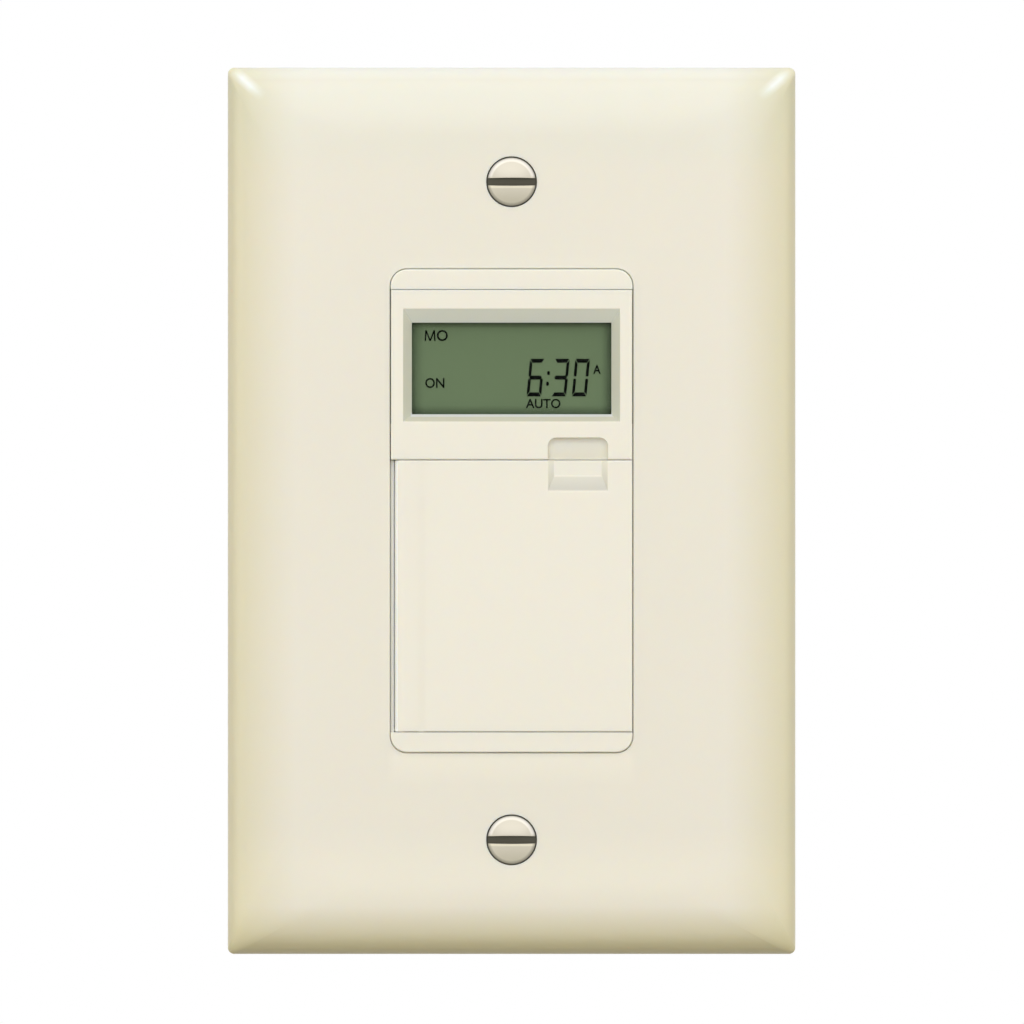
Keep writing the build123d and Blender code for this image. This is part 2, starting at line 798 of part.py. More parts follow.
def make_panel():
    """Glass display cell."""
    lost = 2 * (holder_wall + panel_gap)
    outline = centred(holder_width - lost, holder_height - lost, 0, 0, sight_middle)
    return slab(outline, panel_front, panel_back)


# Boards and what they carry
def make_timer_chip():
    """Timer chip with a row of leads on each side."""
    body = centred(chip_size, chip_size, 0, 0, -chip_drop)
    chip = slab(body, board_back, board_back + chip_thickness)
    middle = (chip_lead_count - 1) / 2
    for lead in range(chip_lead_count):
        row = centred(chip_size + 2 * chip_lead_reach, chip_lead_width, 0, 0,
                      (lead - middle) * chip_lead_pitch - chip_drop)
        chip += slab(row, board_back, board_back + chip_lead_thickness)
    return chip


def make_crystal():
    """Can of the clock's crystal, lying on the board."""
    can = slab(Circle(crystal_radius), 0, crystal_length)
    return sideways(can, -crystal_length / 2, board_back + crystal_radius, -crystal_drop)


def make_cell_clip():
    """Spring strap over the backup cell, soldered to the board."""
    inner = 2 * (cell_radius + running_gap)
    top = board_back + cell_thickness
    outer = centred(inner + 2 * clip_thickness, clip_width, 0, 0, cell_rise)
    room = centred(inner, clip_width + overrun, 0, 0, cell_rise)
    return slab(outer, board_back, top + clip_thickness) - slab(room, board_back - overrun, top)


def make_header():
    """Pin header and its socket between the two boards."""
    block = centred(header_width, header_depth)
    header = slab(block, board_back, board_back + header_block)
    header += slab(block, power_front - header_block, power_front)
    pitch = header_width / header_pin_count
    for pin in range(header_pin_count):
        x = (pin + 1 / 2) * pitch - header_width / 2
        header += slab(disc(header_pin_radius, x), board_back, power_front)
    return header


def make_surge_disc():
    """Surge absorber, a disc on two leads."""
    y = power_back + disc_lead_length + disc_radius
    foot = disc_rise - disc_thickness / 2
    surge = upright(disc_radius, disc_x, y, foot, foot + disc_thickness)
    for side in (-1, 1):
        lead = disc(disc_lead_radius, disc_x + side * disc_radius / 2, disc_rise)
        surge += slab(lead, power_back, y)
    return surge


def make_can(outline, depth):
    """Cased component on the power board, with rounded edges at its far end."""
    case = slab(outline, power_back, power_back + depth)
    return fillet(edges_at(case, power_back + depth), part_edge)


# Rear housing and the wire terminals
terminals = [(1, terminal_z), (1, -terminal_z), (-1, -terminal_z)]


def sided(solid, side):
    """A solid drawn for the right side, mirrored if it belongs on the left."""
    if side < 0:
        solid = mirror(solid, Plane.YZ)
    return solid


def terminal_cuts(z):
    """Pocket, slot and screw hole of a terminal on the right side."""
    low, high = z - pocket_height / 2, z + pocket_height / 2
    pocket = span(pocket_floor, housing_side + overrun, low, high)
    cuts = slab(pocket, pocket_front, pocket_back)
    slot_half = tongue_height / 2 + rest_gap
    slot = span(block_inner - overrun, pocket_floor + overrun, z - slot_half, z + slot_half)
    cuts += slab(slot, leaf_back - leaf_thickness - rest_gap, leaf_back + rest_gap)
    bore = slab(Circle(terminal_screw_radius + screw_hole_gap), 0, pocket_depth + terminal_screw_tip)
    hole_end = pocket_floor - terminal_screw_tip - screw_hole_gap
    return cuts + sideways(bore, hole_end, terminal_screw_depth, z)


def make_rear_housing():
    """Moulded housing with corner pillars, terminal pockets and board posts."""
    housing = slab(centred(housing_width, housing_height, housing_radius), 0, housing_depth)
    housing = fillet(edges_at(housing, housing_depth), housing_back_edge)
    lost = 2 * housing_wall
    cavity = centred(housing_width - lost, housing_height - lost, housing_radius - housing_wall)
    for x, z in pairs(pillar_x, pillar_z):
        cavity -= disc(pillar_radius, x, z)
    housing -= slab(cavity, -overrun, cavity_back)
    block_half = pocket_height / 2 + block_margin
    for side, z in terminals:
        block = span(block_inner, housing_side - housing_wall / 2, z - block_half, z + block_half)
        block = slab(block, pocket_front - block_margin, pocket_back + block_margin)
        housing += sided(block, side)
        housing -= sided(terminal_cuts(z), side)
    for x, z in pairs(power_post_x, power_post_z):
        housing += slab(disc(power_post_radius, x, z), power_back, cavity_back + housing_back_wall / 2)
    for x, z in pairs(pillar_x, pillar_z):
        bore = disc(housing_screw_radius + screw_hole_gap, x, z)
        housing -= slab(bore, -overrun, pillar_seat + overrun)
        housing -= slab(disc(counterbore_radius, x, z), pillar_seat, housing_depth + overrun)
    return housing


def housing_screw(x, z):
    """Pan-head screw from the housing's back into the front frame."""
    head_end = pillar_seat + housing_screw_head_height
    screw = turned(
        [
            (0, post_front + housing_screw_tip),
            (housing_screw_radius, post_front + housing_screw_tip),
            (housing_screw_radius, pillar_seat),
            (housing_screw_head_radius, pillar_seat),
            (housing_screw_head_radius, head_end - housing_screw_head_height / 3),
            (housing_screw_head_radius * 2 / 3, head_end),
            (0, head_end),
        ]
    )
    slot = centred(2 * housing_screw_head_radius + overrun, housing_screw_slot_width)
    screw -= slab(slot, head_end - housing_screw_slot_depth, head_end + overrun)
    return Pos(x, 0, z) * screw


def terminal_plate(side, z):
    """Brass plate under a terminal screw, with a tongue onto the power board."""
    leaf = span(pocket_floor, pocket_floor + leaf_thickness, z - leaf_height / 2, z + leaf_height / 2)
    plate = slab(leaf, leaf_front, leaf_back)
    tongue_left = power_board_width / 2 - tongue_lap
    tongue = span(tongue_left, pocket_floor, z - tongue_height / 2, z + tongue_height / 2)
    plate += slab(tongue, leaf_back - leaf_thickness, leaf_back)
    bore = slab(Circle(terminal_screw_radius + running_gap), 0, 2 * pocket_depth)
    plate -= sideways(bore, pocket_floor - pocket_depth, terminal_screw_depth, z)
    return sided(plate, side)


def terminal_screw(side, z):
    """Binding screw with a flat slotted head."""
    leaf_face = pocket_floor + leaf_thickness
    shank_length = leaf_thickness + terminal_screw_tip
    screw = slab(Circle(terminal_screw_radius), 0, shank_length)
    head_end = shank_length + terminal_head_height
    head = slab(Circle(terminal_head_radius), shank_length, head_end)
    screw += chamfer(edges_at(head, head_end), terminal_head_height / 4)
    slot = centred(2 * terminal_head_radius + overrun, terminal_slot_width)
    screw -= slab(slot, head_end - terminal_slot_depth, head_end + overrun)
    screw = sideways(screw, leaf_face - shank_length, terminal_screw_depth, z)
    return sided(screw, side)


def main():
    """Writes every piece of the switch."""
    os.makedirs("parts", exist_ok=True)
    save("wall_plate", make_wall_plate())
    save("plate_screws", *[plate_screw(side * plate_screw_z) for side in (-1, 1)])
    save("mounting_strap", make_strap())
    save("box_screws", *[box_screw(side * box_screw_z) for side in (-1, 1)])
    save("screw_retainers", *[screw_retainer(side * box_screw_z) for side in (-1, 1)])
    save("ground_screw", ground_screw())
    save("front_frame", make_front_frame())
    save("display_bezel", make_bezel())
    save("program_door", make_door())
    for name, plan in keys.items():
        save(name, make_key(plan))
    save("tact_switches", *[make_tact_switch(plan) for plan in keys.values()])
    pane = centred(holder_width, holder_height, 0, 0, sight_middle)
    save("display_window", slab(pane, pane_front, pane_back))
    save("display_panel", make_panel())
    save("display_holder", make_holder())
    save("zebra_strips", *[make_zebra_strip(side) for side in (-1, 1)])
    board = centred(board_width, board_height, board_radius)
    save("control_board", slab(board, board_front, board_back))
    save("timer_chip", make_timer_chip())
    save("clock_crystal", make_crystal())
    cell = disc(cell_radius, 0, cell_rise)
    save("backup_cell", slab(cell, board_back, board_back + cell_thickness))
    save("cell_clip", make_cell_clip())
    save("board_header", make_header())
    power_outline = centred(power_board_width, power_board_height, board_radius)
    save("power_board", slab(power_outline, power_front, power_back))
    save("load_relay", make_can(centred(relay_width, relay_height), relay_depth))
    filter_outline = centred(filter_width, filter_height, 0, 0, -filter_drop)
    save("filter_capacitor", make_can(filter_outline, filter_depth))
    reservoir_outline = disc(reservoir_radius, reservoir_x, reservoir_rise)
    save("reservoir_capacitor", make_can(reservoir_outline, reservoir_depth))
    save("surge_disc", make_surge_disc())
    save("rear_housing", make_rear_housing())
    save("housing_screws", *[housing_screw(x, z) for x, z in pairs(pillar_x, pillar_z)])
    hot = [terminal for terminal in terminals if terminal[0] > 0]
    neutral = [terminal for terminal in terminals if terminal[0] < 0]
    save("hot_terminals", *[terminal_plate(side, z) for side, z in hot])
    save("neutral_terminal", *[terminal_plate(side, z) for side, z in neutral])
    save("hot_terminal_screws", *[terminal_screw(side, z) for side, z in hot])
    save("neutral_terminal_screw", *[terminal_screw(side, z) for side, z in neutral])


main()
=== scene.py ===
import bpy
import math
from functools import partial
from mathutils import Matrix, Vector


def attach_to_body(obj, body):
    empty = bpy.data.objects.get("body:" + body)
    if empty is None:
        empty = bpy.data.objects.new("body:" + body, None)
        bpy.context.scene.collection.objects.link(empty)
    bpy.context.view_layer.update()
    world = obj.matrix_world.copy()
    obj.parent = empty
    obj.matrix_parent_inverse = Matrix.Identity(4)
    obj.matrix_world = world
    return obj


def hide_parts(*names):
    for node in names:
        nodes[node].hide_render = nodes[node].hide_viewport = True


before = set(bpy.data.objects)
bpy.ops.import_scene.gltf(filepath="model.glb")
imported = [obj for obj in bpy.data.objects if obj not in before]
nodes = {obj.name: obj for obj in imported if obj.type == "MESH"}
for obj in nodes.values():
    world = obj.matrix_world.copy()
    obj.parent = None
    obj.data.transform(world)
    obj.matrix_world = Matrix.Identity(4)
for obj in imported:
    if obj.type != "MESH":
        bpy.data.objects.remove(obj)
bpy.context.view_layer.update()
bpy.context.scene.view_settings.view_transform = "Standard"
mm = 0.001
screwRows = (46.0, -46.0)  # heights of the two plate screws, in mm
print("frame loaded:", len(nodes), "nodes")


def pickNone():
    bpy.ops.object.select_all(action="DESELECT")


def pickOnly(piece):
    pickNone()
    piece.select_set(True)
    bpy.context.view_layer.objects.active = piece


def clearMesh(piece):
    # leaves nothing of the mesh selected, no edge or face either
    pickOnly(piece)
    bpy.ops.object.mode_set(mode="EDIT")
    bpy.ops.mesh.select_all(action="DESELECT")
    bpy.ops.object.mode_set(mode="OBJECT")


def joinPieces(pieces, name):
    pickNone()
    for piece in pieces:
        piece.select_set(True)
    bpy.context.view_layer.objects.active = pieces[0]
    bpy.ops.object.join()
    joined = bpy.context.view_layer.objects.active
    joined.name = joined.data.name = name
    return joined


def setPlace(piece, place):
    # moves the mesh and not the object, which stays at the origin
    piece.data.transform(place @ piece.matrix_world)
    piece.matrix_world = Matrix.Identity(4)


def dress(piece, material):
    smoothAngle = 30
    piece.data.materials.clear()
    piece.data.materials.append(material)
    pickOnly(piece)
    bpy.ops.object.shade_smooth_by_angle(angle=math.radians(smoothAngle))


def attach(piece, body):
    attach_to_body(piece, body)


def addNode(tree, kind, inputs=None, **settings):
    node = tree.nodes.new(kind)
    for key, value in settings.items():
        setattr(node, key, value)
    for socket, value in (inputs or {}).items():
        if isinstance(value, bpy.types.NodeSocket):
            tree.links.new(value, node.inputs[socket])
        else:
            node.inputs[socket].default_value = value
    return node


def newMaterial(name):
    material = bpy.data.materials.new(name)
    material.use_nodes = True
    tree = material.node_tree
    return material, tree, tree.nodes["Principled BSDF"]


def noiseAt(tree, coords, scale, detail=2.0, stretch=(1, 1, 1)):
    # noise whose scale counts features in a metre
    placed = addNode(tree, "ShaderNodeMapping", {"Vector": coords, "Scale": stretch})
    noise = addNode(tree, "ShaderNodeTexNoise",
                    {"Vector": placed.outputs["Vector"], "Scale": scale, "Detail": detail})
    return noise.outputs["Fac"]


def toRange(tree, value, low, high, fromLow=0.2, fromHigh=0.8):
    # without a range of its own the value is a noise, which mostly stays in 0.2 to 0.8
    ranged = addNode(tree, "ShaderNodeMapRange",
                     {"Value": value, "From Min": fromLow, "From Max": fromHigh,
                      "To Min": low, "To Max": high})
    return ranged.outputs["Result"]


def blendColours(tree, factor, first, second, kind="MIX"):
    blend = addNode(tree, "ShaderNodeMix", data_type="RGBA", blend_type=kind)
    for index, value in ((0, factor), (6, first), (7, second)):
        if isinstance(value, bpy.types.NodeSocket):
            tree.links.new(value, blend.inputs[index])
        else:
            blend.inputs[index].default_value = value
    return blend.outputs[2]


def splitOf(tree, coords):
    return addNode(tree, "ShaderNodeSeparateXYZ", {"Vector": coords}).outputs


def calculate(tree, operation, first, second=0.0):
    return addNode(tree, "ShaderNodeMath", {0: first, 1: second}, operation=operation).outputs[0]


def multiply(tree, product, *others):
    for other in others:
        product = calculate(tree, "MULTIPLY", product, other)
    return product


def rising(tree, value, span):
    # from 0 to 1 along a span in mm, and the next one from 1 to 0
    return toRange(tree, value, 0, 1, span[0] * mm, span[1] * mm)


def falling(tree, value, span):
    return toRange(tree, value, 1, 0, span[0] * mm, span[1] * mm)


def tinted(colour, share):
    return (*[min(1.0, part * share) for part in colour], 1.0)


def finish(name, look):
    # one finish for all hard pieces: clouded colour and gloss, and a fine grain
    detail = {"cloud": 3.0, "wear": 2.0, "grain": 2.0}
    wearFineness = 3
    glowSpread = (1.0, 0.8, 0.5)
    material, tree, shader = newMaterial(name)
    coords = addNode(tree, "ShaderNodeTexCoord").outputs["Object"]
    stretch = look.get("stretch", (1, 1, 1))
    cloud = noiseAt(tree, coords, look["cloudScale"], detail["cloud"], stretch)
    vary = look["vary"]
    colour = blendColours(tree, toRange(tree, cloud, 0, 1), tinted(look["colour"], 1 - vary),
                          tinted(look["colour"], 1 + vary))
    # the tones paint light and shade into the colour
    for tone in look.get("tones", []):
        colour = tone(tree, coords, colour)
    tree.links.new(colour, shader.inputs["Base Color"])
    rough, roughVary = look["roughness"], look["roughVary"]
    wear = noiseAt(tree, coords, look["cloudScale"] * wearFineness, detail["wear"], stretch)
    tree.links.new(toRange(tree, wear, rough - roughVary, rough + roughVary),
                   shader.inputs["Roughness"])
    grain = noiseAt(tree, coords, look["grainScale"], detail["grain"], stretch)
    bump = addNode(tree, "ShaderNodeBump", {"Height": grain, "Strength": look["grainStrength"],
                                            "Distance": look["grainHeight"] * mm})
    tree.links.new(bump.outputs["Normal"], shader.inputs["Normal"])
    shader.inputs["Metallic"].default_value = look.get("metallic", 0.0)
    shader.inputs["Specular IOR Level"].default_value = look.get("specular", 0.5)
    if "glow" in look:  # light that spreads under the surface of pale plastic
        shader.inputs["Subsurface Weight"].default_value = look["glow"]
        shader.inputs["Subsurface Scale"].default_value = look["glowReach"] * mm
        shader.inputs["Subsurface Radius"].default_value = glowSpread
    return material


def takeShare(tree, factor, base, share):
    # multiplies a colour by a share of it, where the factor says so
    return blendColours(tree, factor, base, share, "MULTIPLY")


def paintedDepthShade(slot):
    # a painted shade that comes in with depth behind the face, and ends behind the slot's floor
    def tone(tree, coords, base):
        depth = splitOf(tree, coords)["Y"]
        factor = multiply(tree, rising(tree, depth, slot["from"]),
                          falling(tree, depth, slot["to"]))
        return blendColours(tree, factor, base, (*slot["colour"], 1.0))
    return tone


def zoneTone(zone):
    # painted light and shade: a share of the colour inside a box of X, Y and Z, blended from its
    # foot to its top; a share above one paints light and one below paints shade
    def tone(tree, coords, base):
        split = splitOf(tree, coords)
        soft = zone.get("soft", 0.05)
        edges = []
        for axis in "XYZ":
            for edge, sign in zip(zone[axis], (1, -1)):
                if edge is not None:
                    span = (edge - sign * soft, edge + sign * soft)
                    edges.append(rising(tree, split[axis], span))
        share = blendColours(tree, rising(tree, split["Z"], zone["Z"]),
                             (*zone["foot"], 1.0), (*zone["top"], 1.0))
        return takeShare(tree, multiply(tree, *edges), base, share)
    return tone


def paintedSlopeShade(recessShade):
    # painted shade on the display's sloped surround, darker than the face, each slope by its own
    # share as the light falls on it
    def tone(tree, coords, base):
        split = splitOf(tree, coords)
        across = calculate(tree, "ABSOLUTE", split["X"])
        inward = {}
        for side, value in (("side", across), ("top", split["Z"]), ("foot", split["Z"])):
            outer, inner = recessShade[side]
            inward[side] = addNode(tree, "ShaderNodeMapRange",
                                   {"Value": value, "From Min": outer * mm,
                                    "From Max": inner * mm}, clamp=False).outputs["Result"]
        share = (*recessShade["sideShare"], 1.0)
        for side in ("top", "foot"):
            nearer = calculate(tree, "SUBTRACT", inward["side"], inward[side])
            change = toRange(tree, nearer, 0, 1, -recessShade["mitre"], recessShade["mitre"])
            share = blendColours(tree, change, share, (*recessShade[side + "Share"], 1.0))
        inside = multiply(tree, rising(tree, split["Y"], recessShade["front"]),
                          rising(tree, split["Z"], recessShade["above"]))
        return takeShare(tree, inside, base, share)
    return tone


def paintedBorderShade(borderShade):
    # painted shade: the display darkens towards its surround, where the surround's shadow falls
    def tone(tree, coords, base):
        split = splitOf(tree, coords)
        parts = [toRange(tree, split[axis], least, 1, edge * mm, inner * mm)
                 for axis, edge, inner, least in borderShade]
        return takeShare(tree, 1.0, base, multiply(tree, *parts))
    return tone


def paintedHipHighlight(hipHighlight):
    # a painted highlight along the ridge of the plate's upper corners, lighter than what lies
    # round it
    def tone(tree, coords, base):
        split = splitOf(tree, coords)
        inX = calculate(tree, "SUBTRACT", hipHighlight["corner"][0] * mm,
                        calculate(tree, "ABSOLUTE", split["X"]))
        inZ = calculate(tree, "SUBTRACT", hipHighlight["corner"][1] * mm, split["Z"])
        turn = math.radians(hipHighlight["turn"])
        along = calculate(tree, "ADD", multiply(tree, inX, math.cos(turn)),
                          multiply(tree, inZ, math.sin(turn)))
        off = calculate(tree, "SUBTRACT", multiply(tree, inX, math.sin(turn)),
                        multiply(tree, inZ, math.cos(turn)))
        near = falling(tree, calculate(tree, "ABSOLUTE", off), (0, hipHighlight["reach"]))
        factor = multiply(tree, near, rising(tree, along, hipHighlight["from"]),
                          falling(tree, along, hipHighlight["to"]))
        return blendColours(tree, factor, base, (*hipHighlight["colour"], 1.0))
    return tone


def paintedRingHighlight(ring):
    # a painted highlight: a share of the colour that comes in with distance from a screw's
    # middle, on one half
    def tone(tree, coords, base):
        split = splitOf(tree, coords)
        rise = calculate(tree, "SUBTRACT", split["Z"], ring["middle"] * mm)
        squares = [multiply(tree, side, side) for side in (split["X"], rise)]
        away = calculate(tree, "SQRT", calculate(tree, "ADD", *squares))
        factor = multiply(tree, rising(tree, away, ring["reach"]),
                          falling(tree, away, ring["end"]), rising(tree, rise, ring["half"]),
                          falling(tree, split["Y"], ring["front"]))
        return takeShare(tree, factor, base, (*ring["share"], 1.0))
    return tone


def paintedEdgeShade(rim):
    # painted shade, darker and warmer towards the plate's sides or foot, where its wall turns
    # away
    def tone(tree, coords, base):
        split = splitOf(tree, coords)
        if rim["axis"] == "X":
            away = calculate(tree, "ABSOLUTE", split["X"])
        else:
            away = multiply(tree, split["Z"], -1.0)
        factor = rising(tree, away, (rim["half"] - rim["reach"], rim["half"] - rim["full"]))
        curve = calculate(tree, "POWER", factor, rim["power"])
        return blendColours(tree, curve, base, (*rim["colour"], 1.0))
    return tone


def placeCamera():
    # straight in front and far off; sizes in mm, the clip in metres, the plate's middle in
    # pixels of the photo
    shot = {"distance": 6000.0, "sensor": 36.0, "imageSide": 1024, "pixelSize": 0.1398,
            "plateMiddle": (511.6, 510.8), "faceDepth": -6.4, "clip": (0.1, 20.0)}
    camera = bpy.data.objects.new("photoCamera", bpy.data.cameras.new("photoCamera"))
    bpy.context.scene.collection.objects.link(camera)
    wide = shot["pixelSize"] * shot["imageSide"]
    camera.data.sensor_width = shot["sensor"]
    camera.data.lens = shot["sensor"] * (shot["distance"] + shot["faceDepth"]) / wide
    half = shot["imageSide"] / 2
    x = (half - shot["plateMiddle"][0]) * shot["pixelSize"]
    z = (shot["plateMiddle"][1] - half) * shot["pixelSize"]
    camera.location = (x * mm, -shot["distance"] * mm, z * mm)
    camera.rotation_euler = (math.radians(90), 0, 0)
    camera.data.clip_start, camera.data.clip_end = shot["clip"]
    bpy.context.scene.camera = camera


def softBox(name, look):
    # its level is the light that it throws on a surface that faces it
    light = bpy.data.lights.new(name, "AREA")
    light.shape = "RECTANGLE"
    light.size, light.size_y = look["size"]
    light.color = look["colour"]
    light.energy = look["level"] * (math.pi * look["distance"]) ** 2
    lamp = bpy.data.objects.new(name, light)
    bpy.context.scene.collection.objects.link(lamp)
    turn, rise = math.radians(look["turn"]), math.radians(look["rise"])
    towards = Vector((math.sin(turn) * math.cos(rise), -math.cos(turn) * math.cos(rise),
                      math.sin(rise)))
    lamp.location = towards * look["distance"]
    lamp.rotation_euler = towards.to_track_quat("Z", "Y").to_euler()
    lamp.visible_camera = False
    lamp.visible_glossy = look.get("glare", True)
    lamp.visible_diffuse = look.get("fill", True)


def seenPlain(tree):
    # one for rays of the camera, of gloss and of glass
    path = addNode(tree, "ShaderNodeLightPath").outputs
    either = calculate(tree, "MAXIMUM", path["Is Camera Ray"], path["Is Glossy Ray"])
    return calculate(tree, "MAXIMUM", either, path["Is Transmission Ray"])


def makeStudio():
    studio = {"ambient": (1.0, 0.965, 0.84), "ambientLevel": 0.40,
              "boxes": {
                  "keyBox": {"turn": 0, "rise": 48, "distance": 2.0, "size": (2.6, 2.0),
                             "level": 0.382, "colour": (0.94, 0.985, 1.08), "glare": False},
                  "frontBox": {"turn": 0, "rise": 12, "distance": 2.2, "size": (2.4, 1.3),
                               "level": 0.54, "colour": (0.945, 0.985, 1.06), "glare": False},
                  "glareBox": {"turn": 0, "rise": 45, "distance": 1.2, "size": (2.0, 1.5),
                               "level": 0.33, "colour": (1.0, 1.0, 1.0), "fill": False},
                  "leftBox": {"turn": -84, "rise": 6, "distance": 1.2, "size": (0.7, 1.0),
                              "level": 0.27, "colour": (1.0, 0.97, 0.80)},
                  "rightBox": {"turn": 84, "rise": 6, "distance": 1.2, "size": (0.7, 1.0),
                               "level": 0.24, "colour": (1.0, 0.97, 0.80)},
                  "backBox": {"turn": 180, "rise": 5, "distance": 1.4, "size": (1.0, 0.8),
                              "level": 0.45, "colour": (1.0, 1.0, 1.0), "glare": False}}}
    world = bpy.data.worlds.new("studioWorld")
    bpy.context.scene.world = world
    world.use_nodes = True
    tree = world.node_tree
    plain = tree.nodes["Background"]
    plain.inputs["Color"].default_value = (*studio["ambient"], 1.0)
    plain.inputs["Strength"].default_value = studio["ambientLevel"]
    white = addNode(tree, "ShaderNodeBackground", {"Color": (1, 1, 1, 1), "Strength": 1.0})
    mix = addNode(tree, "ShaderNodeMixShader",
                  {0: seenPlain(tree), 1: plain.outputs[0], 2: white.outputs[0]})
    tree.links.new(mix.outputs[0], tree.nodes["World Output"].inputs["Surface"])
    for name, look in studio["boxes"].items():
        softBox(name, look)


def makeFloor():
    # bounce is what the floor throws on the object, seen is how it looks itself
    floorLook = {"side": 2.1, "drop": 0.100, "middle": -0.1, "bounce": (0.38, 0.345, 0.26),
                 "seen": (0.50, 0.50, 0.49), "seenGlow": 0.52}
    pickNone()
    bpy.ops.mesh.primitive_plane_add(size=floorLook["side"],
                                     location=(0, floorLook["middle"], -floorLook["drop"]))
    floor = bpy.context.object
    floor.name = floor.data.name = "studioFloor"
    material, tree, shader = newMaterial("paleFloor")
    tree.nodes.remove(shader)
    bounce = addNode(tree, "ShaderNodeBsdfDiffuse", {"Color": (*floorLook["bounce"], 1.0)})
    seen = addNode(tree, "ShaderNodeBsdfDiffuse", {"Color": (*floorLook["seen"], 1.0)})
    glow = addNode(tree, "ShaderNodeEmission", {"Color": (1, 1, 1, 1),
                                                "Strength": floorLook["seenGlow"]})
    both = addNode(tree, "ShaderNodeAddShader", {0: seen.outputs[0], 1: glow.outputs[0]})
    mix = addNode(tree, "ShaderNodeMixShader", {0: seenPlain(tree),
                  1: bounce.outputs[0], 2: both.outputs[0]})
    tree.links.new(mix.outputs[0], tree.nodes["Material Output"].inputs["Surface"])
    floor.data.materials.append(material)
    setPlace(floor, Matrix.Identity(4))


def plateTones():
    # painted shade on the warmer rim, a painted highlight on the upper corners, painted shade in
    # the screw holes, and soft bands of painted light and shade, in mm
    # painted shade, darker and warmer, on the plate's sides and foot
    sides = {"axis": "X", "half": 39.7, "reach": 9.8, "full": 1.2, "power": 1.2,
             "colour": (0.755, 0.70, 0.51)}
    foot = {"axis": "Z", "half": 62.0, "reach": 6.6, "full": 1.2, "power": 1.0,
            "colour": (0.73, 0.67, 0.44)}
    # painted highlight on the hips of the upper corners
    hipHighlight = {"corner": (39.6, 62.1), "turn": 41, "reach": 1.0, "from": (0.8, 2.6),
           "to": (4.2, 6.6), "colour": (0.935, 0.93, 0.90)}
    # painted shade inside the screw holes, behind the plate's face
    holeShade = {"half": 3.8, "Y": (-6.32, None), "share": (0.3, 0.3, 0.27)}
    everywhere = (None, None)
    # bands of painted light and shade: a lighter top edge where the light from above falls, a
    # darker upper plate, a lighter lower plate, and painted light below the device that takes
    # away its shadow
    zones = {
        "topEdge": {"X": everywhere, "Y": everywhere, "Z": (60.2, 62.3), "soft": 0.3,
                    "foot": (1.0, 1.0, 1.0), "top": (1.17, 1.22, 1.27)},
        "upperPlate": {"X": everywhere, "Y": everywhere, "Z": (48.0, 60.5), "soft": 2.0,
                       "foot": (0.99, 1.0, 1.0), "top": (0.955, 0.985, 0.985)},
        "lowerPlate": {"X": everywhere, "Y": everywhere, "Z": (-57.5, -47.0), "soft": 2.5,
                       "foot": (1.045, 1.045, 1.03), "top": (1.03, 1.03, 1.02)},
        "underDevice": {"X": (-16.9, 16.9), "Y": (None, -6.3), "Z": (-38.5, -34.0),
                        "soft": 0.6, "foot": (1.0, 1.0, 1.0), "top": (1.10, 1.10, 1.08)}}
    holeShades = [zoneTone({"X": (-holeShade["half"], holeShade["half"]), "Y": holeShade["Y"],
                       "Z": (z - holeShade["half"], z + holeShade["half"]),
                       "foot": holeShade["share"], "top": holeShade["share"]})
             for z in screwRows]
    return [paintedEdgeShade(sides), paintedEdgeShade(foot), paintedHipHighlight(hipHighlight), *holeShades,
            *[zoneTone(zone) for zone in zones.values()]]


def deviceTones():
    # places on the front that the photo shows greyer or lighter than the face, in mm
    # painted shade on the slopes of the display's surround
    recessShade = {"side": (15.2, 13.95), "top": (28.3, 26.3), "foot": (12.45, 13.5),
              "front": (-6.79, -6.71), "above": (12.15, 12.25), "mitre": 0.15,
              "sideShare": (0.71, 0.745, 0.71), "topShare": (0.86, 0.915, 0.93),
              "footShare": (0.74, 0.745, 0.685)}
    doorSpan = (-31.0, 7.1)
    # painted shade in the two notches, on the wall left of the door and along the door's crease,
    # and painted highlights on the hinge barrel and the sight's lower lip
    zones = {
        "bezelNotch": {"X": (5.0, 13.6), "Y": (-6.74, -5.4), "Z": (7.1, 10.3),
                       "foot": (0.86, 0.86, 0.81), "top": (0.99, 1.02, 1.06)},
        "doorNotch": {"X": (5.0, 13.6), "Y": (-6.74, -6.06), "Z": (2.6, 7.0),
                      "foot": (0.70, 0.705, 0.70), "top": (0.93, 0.95, 0.94)},
        "leftWall": {"X": (-17.5, -16.56), "Y": (-6.5, None), "Z": doorSpan, "soft": 0.03,
                     "foot": (0.84, 0.85, 0.84), "top": (0.84, 0.85, 0.84)},
        "hingeBarrel": {"X": (-16.56, -15.9), "Y": (-6.6, None), "Z": doorSpan, "soft": 0.03,
                        "foot": (1.12, 1.17, 1.26), "top": (1.12, 1.17, 1.26)},
        "doorBand": {"X": (-13.0, -12.1), "Y": (None, -6.7), "Z": (-31.0, 2.0), "soft": 0.25,
                     "foot": (0.972, 0.972, 0.972), "top": (0.985, 0.985, 0.985)},
        "sightLipGlint": {"X": (-14.1, 14.1), "Y": (-6.3, None), "Z": (13.14, 13.7), "soft": 0.04,
                      "foot": (1.10, 1.14, 1.36), "top": (1.10, 1.14, 1.36)}}
    return [paintedSlopeShade(recessShade)] + [zoneTone(zone) for zone in zones.values()]


